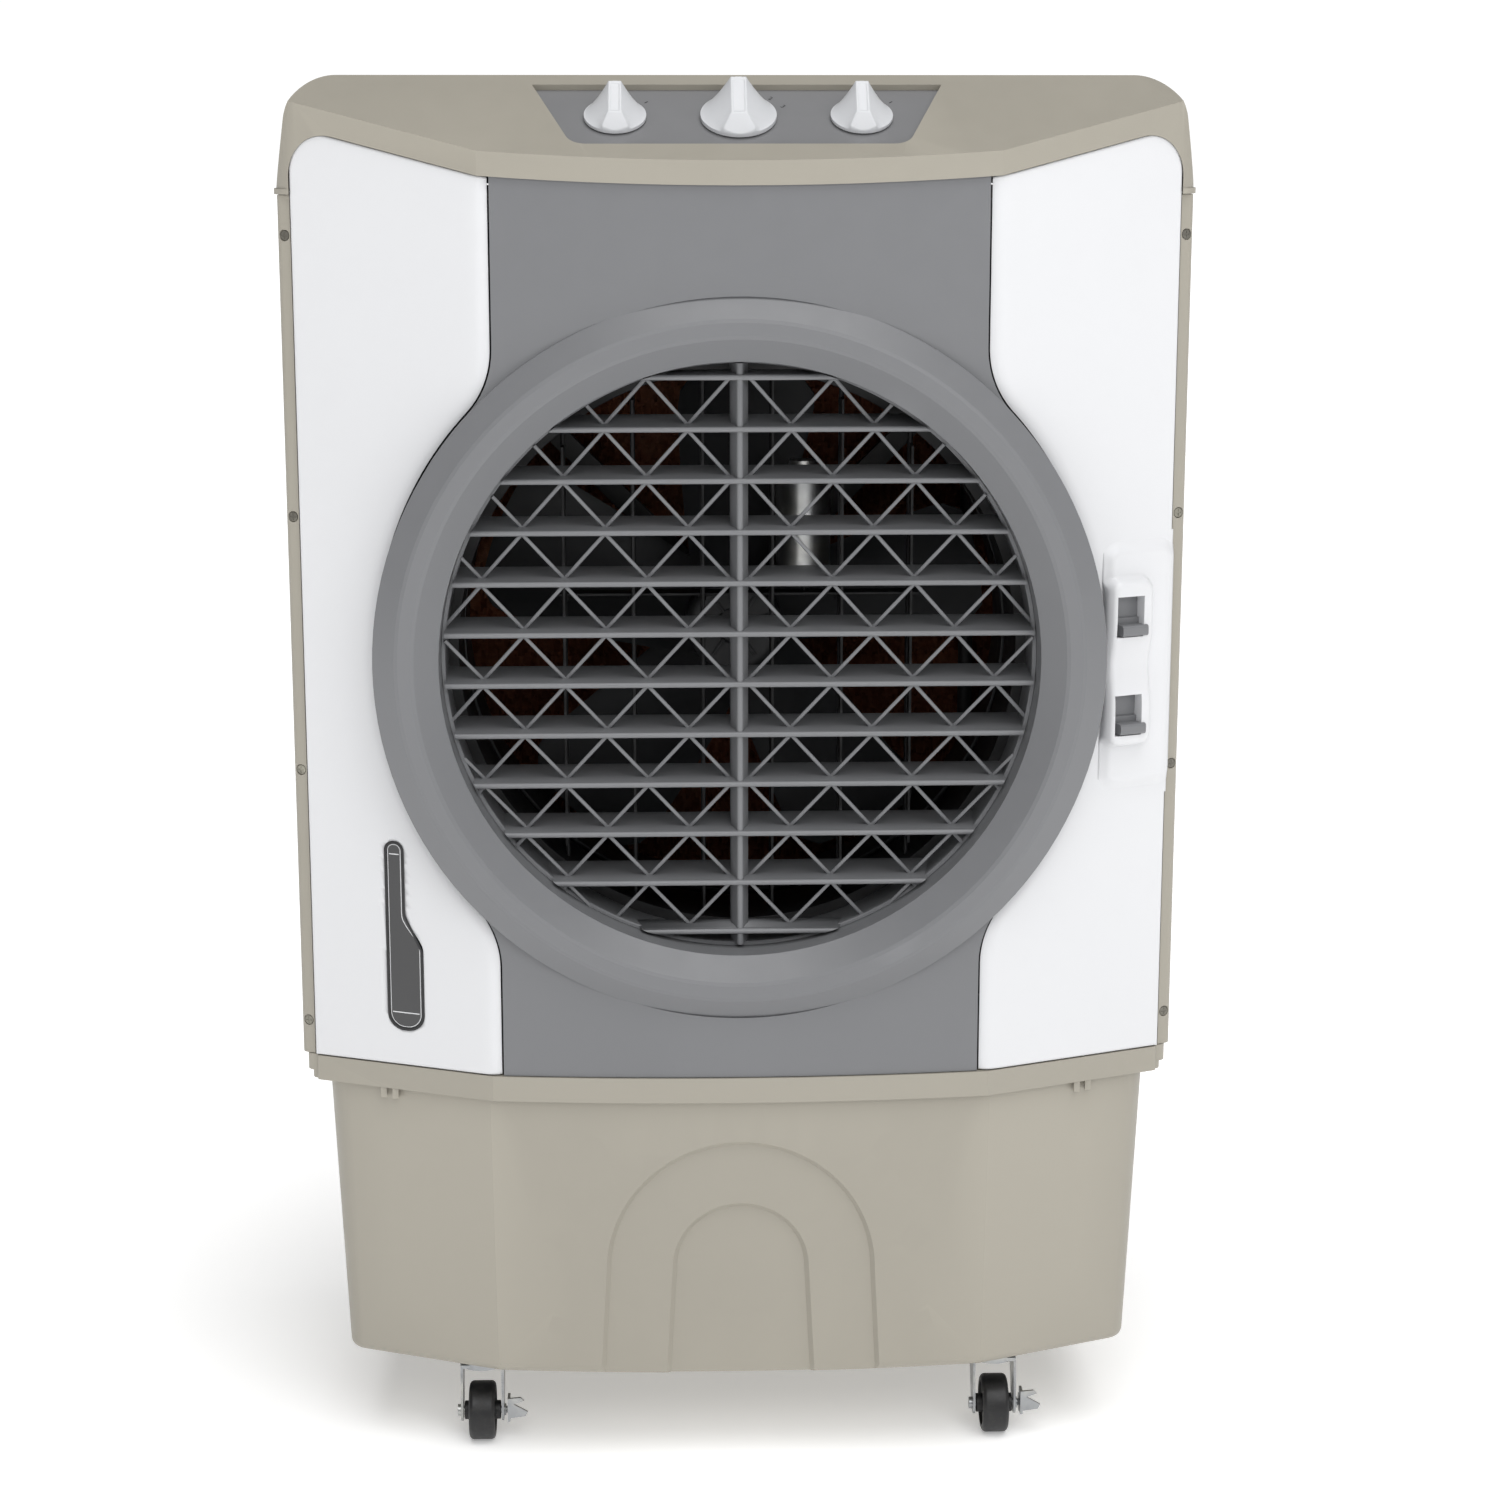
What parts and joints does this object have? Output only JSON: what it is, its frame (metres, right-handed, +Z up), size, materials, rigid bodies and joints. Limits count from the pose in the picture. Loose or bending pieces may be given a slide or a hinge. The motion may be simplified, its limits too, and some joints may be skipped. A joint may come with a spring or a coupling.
{
  "type": "evaporative cooler",
  "caption": "Floor-standing evaporative cooler with a round louvred outlet, swing vanes, selector knobs, a water tank, cooling pads and swivel casters.",
  "frame": {"origin": "on the floor under the centre of the overall box", "axes": "+Z up, -Y out of the air outlet, +X to the right of a person facing the outlet"},
  "size_m": [0.74, 0.44, 1.1507],
  "materials": {
    "beige_plastic": "satin moulded plastic, fine grain",
    "white_plastic": "satin gloss",
    "knob_white": "satin",
    "gray_plastic": "satin",
    "control_gray": "satin",
    "black_plastic": "matte",
    "fan_gray": "satin",
    "smoked_glass": "smoked, polished",
    "float_gray": "satin",
    "motor_metal": "brushed",
    "steel": "brushed",
    "painted_screws": "painted to match the case",
    "black_steel": "black stove enamel",
    "zinc_steel": "bright zinc plated",
    "wheel_black": "satin",
    "cellulose": "corrugated, treated cellulose",
    "hose_rubber": "satin",
    "trough_plastic": "satin"
  },
  "bodies": {
    "housing": {"caster_plates": "zinc_steel", "control_panel": "control_gray", "cord_gland": "black_plastic", "fan_motor": "motor_metal", "fan_shroud": "fan_gray", "front_grille": "gray_plastic", "front_panel": "gray_plastic", "housing_screws": "painted_screws", "left_front_panel": "white_plastic", "left_side_panel": "beige_plastic", "level_window_frame": "black_plastic", "level_window_glass": "smoked_glass", "motor_bracket": "black_steel", "rear_cooling_pad": "cellulose", "rear_pad_frame": "beige_plastic", "right_front_panel": "white_plastic", "right_side_panel": "beige_plastic", "riser_hose": "hose_rubber", "selector_switches": "black_plastic", "side_cooling_pads": "cellulose", "side_pad_frames": "beige_plastic", "swing_bracket": "black_plastic", "swing_motor": "motor_metal", "tab_housing": "white_plastic", "tab_plates": "gray_plastic", "top_cover": "beige_plastic", "vane_carrier": "black_plastic", "waist_frame": "beige_plastic", "water_distributor": "trough_plastic", "water_pump": "black_plastic", "water_tank": "beige_plastic"},
    "fan_body": {"fan": "fan_gray", "fan_shaft": "steel", "fan_nut": "steel"},
    "vane_3": {"swing_vane_3": "black_plastic"},
    "vane_1": {"swing_vane_1": "black_plastic"},
    "vane_2": {"swing_vane_2": "black_plastic"},
    "vane_4": {"swing_vane_4": "black_plastic"},
    "vane_5": {"swing_vane_5": "black_plastic"},
    "vane_6": {"swing_vane_6": "black_plastic"},
    "link_body": {"link_bar": "black_plastic"},
    "crank_body": {"swing_crank": "black_plastic"},
    "cool_knob_body": {"cool_knob": "knob_white"},
    "speed_knob_body": {"speed_knob": "knob_white"},
    "swing_knob_body": {"swing_knob": "knob_white"},
    "lower_tab_body": {"lower_thumb_tab": "gray_plastic"},
    "upper_tab_body": {"upper_thumb_tab": "gray_plastic"},
    "float_body": {"level_float": "float_gray"},
    "door_body": {"fill_door": "beige_plastic"},
    "drain_body": {"drain_cap": "black_plastic"},
    "front_left_swivel": {"front_left_fork": "zinc_steel"},
    "front_left_roller": {"front_left_wheel": "wheel_black"},
    "front_left_lever": {"front_left_brake": "zinc_steel"},
    "front_right_swivel": {"front_right_fork": "zinc_steel"},
    "front_right_roller": {"front_right_wheel": "wheel_black"},
    "front_right_lever": {"front_right_brake": "zinc_steel"},
    "rear_left_swivel": {"rear_left_fork": "zinc_steel"},
    "rear_left_roller": {"rear_left_wheel": "wheel_black"},
    "rear_right_swivel": {"rear_right_fork": "zinc_steel"},
    "rear_right_roller": {"rear_right_wheel": "wheel_black"}
  },
  "joints": [
    {"name": "fan_spin", "type": "hinge", "parent": "housing", "child": "fan_body", "pos_m": [0, 0.006, 0.689], "axis": [0, 1, 0], "continuous": true},
    {"name": "vane_3_swing", "type": "hinge", "parent": "housing", "child": "vane_3", "pos_m": [-0.0285, -0.104, 0.689], "axis": [0, 0, 1], "range_deg": [-30, 30]},
    {"name": "vane_1_swing", "type": "hinge", "parent": "housing", "child": "vane_1", "pos_m": [-0.1425, -0.104, 0.689], "axis": [0, 0, 1], "range_deg": [-30, 30]},
    {"name": "vane_2_swing", "type": "hinge", "parent": "housing", "child": "vane_2", "pos_m": [-0.0855, -0.104, 0.689], "axis": [0, 0, 1], "range_deg": [-30, 30]},
    {"name": "vane_4_swing", "type": "hinge", "parent": "housing", "child": "vane_4", "pos_m": [0.0285, -0.104, 0.689], "axis": [0, 0, 1], "range_deg": [-30, 30]},
    {"name": "vane_5_swing", "type": "hinge", "parent": "housing", "child": "vane_5", "pos_m": [0.0855, -0.104, 0.689], "axis": [0, 0, 1], "range_deg": [-30, 30]},
    {"name": "vane_6_swing", "type": "hinge", "parent": "housing", "child": "vane_6", "pos_m": [0.1425, -0.104, 0.689], "axis": [0, 0, 1], "range_deg": [-30, 30]},
    {"name": "link_slide", "type": "slide", "parent": "housing", "child": "link_body", "axis": [1, 0, 0], "range_m": [-0.0127, 0.0127]},
    {"name": "crank_turn", "type": "hinge", "parent": "housing", "child": "crank_body", "pos_m": [0.057, -0.054, 0.735], "axis": [0, 0, 1], "range_deg": [-30, 30]},
    {"name": "cool_knob_turn", "type": "hinge", "parent": "housing", "child": "cool_knob_body", "pos_m": [-0.097, -0.15274, 1.12034], "axis": [0, -0.5122, 0.8589], "range_deg": [-45, 0]},
    {"name": "speed_knob_turn", "type": "hinge", "parent": "housing", "child": "speed_knob_body", "pos_m": [0, -0.15274, 1.12034], "axis": [0, -0.5122, 0.8589], "range_deg": [-90, 0]},
    {"name": "swing_knob_turn", "type": "hinge", "parent": "housing", "child": "swing_knob_body", "pos_m": [0.097, -0.15274, 1.12034], "axis": [0, -0.5122, 0.8589], "range_deg": [-45, 0]},
    {"name": "lower_tab_slide", "type": "slide", "parent": "housing", "child": "lower_tab_body", "axis": [0, 0, 1], "range_m": [0, 0.017]},
    {"name": "upper_tab_slide", "type": "slide", "parent": "housing", "child": "upper_tab_body", "axis": [0, 0, 1], "range_m": [0, 0.017]},
    {"name": "float_rise", "type": "slide", "parent": "housing", "child": "float_body", "axis": [0, 0, 1], "range_m": [0, 0.134]},
    {"name": "fill_door_open", "type": "hinge", "parent": "housing", "child": "door_body", "pos_m": [-0.3655, 0, 0.3556], "axis": [0, 1, 0], "range_deg": [-75, 0]},
    {"name": "drain_cap_turn", "type": "hinge", "parent": "housing", "child": "drain_body", "pos_m": [0.12, 0.2, 0.118], "axis": [0, 1, 0], "range_deg": [-90, 0]},
    {"name": "front_left_swivel_turn", "type": "hinge", "parent": "housing", "child": "front_left_swivel", "pos_m": [-0.221, -0.122, 0.07], "axis": [0, 0, 1], "continuous": true},
    {"name": "front_left_wheel_roll", "type": "hinge", "parent": "front_left_swivel", "child": "front_left_roller", "pos_m": [-0.221, -0.136, 0.025], "axis": [1, 0, 0], "continuous": true},
    {"name": "front_left_brake_press", "type": "hinge", "parent": "front_left_swivel", "child": "front_left_lever", "pos_m": [-0.221, -0.136, 0.025], "axis": [1, 0, 0], "range_deg": [0, 25]},
    {"name": "front_right_swivel_turn", "type": "hinge", "parent": "housing", "child": "front_right_swivel", "pos_m": [0.221, -0.122, 0.07], "axis": [0, 0, 1], "continuous": true},
    {"name": "front_right_wheel_roll", "type": "hinge", "parent": "front_right_swivel", "child": "front_right_roller", "pos_m": [0.221, -0.136, 0.025], "axis": [1, 0, 0], "continuous": true},
    {"name": "front_right_brake_press", "type": "hinge", "parent": "front_right_swivel", "child": "front_right_lever", "pos_m": [0.221, -0.136, 0.025], "axis": [1, 0, 0], "range_deg": [0, 25]},
    {"name": "rear_left_swivel_turn", "type": "hinge", "parent": "housing", "child": "rear_left_swivel", "pos_m": [-0.221, 0.14, 0.07], "axis": [0, 0, 1], "continuous": true},
    {"name": "rear_left_wheel_roll", "type": "hinge", "parent": "rear_left_swivel", "child": "rear_left_roller", "pos_m": [-0.221, 0.126, 0.025], "axis": [1, 0, 0], "continuous": true},
    {"name": "rear_right_swivel_turn", "type": "hinge", "parent": "housing", "child": "rear_right_swivel", "pos_m": [0.221, 0.14, 0.07], "axis": [0, 0, 1], "continuous": true},
    {"name": "rear_right_wheel_roll", "type": "hinge", "parent": "rear_right_swivel", "child": "rear_right_roller", "pos_m": [0.221, 0.126, 0.025], "axis": [1, 0, 0], "continuous": true}
  ],
  "couplings": [
    {"joint": "vane_1_swing", "follows": "vane_3_swing", "ratio": 1},
    {"joint": "vane_2_swing", "follows": "vane_3_swing", "ratio": 1},
    {"joint": "vane_4_swing", "follows": "vane_3_swing", "ratio": 1},
    {"joint": "vane_5_swing", "follows": "vane_3_swing", "ratio": 1},
    {"joint": "vane_6_swing", "follows": "vane_3_swing", "ratio": 1},
    {"joint": "link_slide", "follows": "vane_3_swing", "m_per_rad": -0.0239},
    {"joint": "crank_turn", "follows": "vane_3_swing", "ratio": -1}
  ]
}
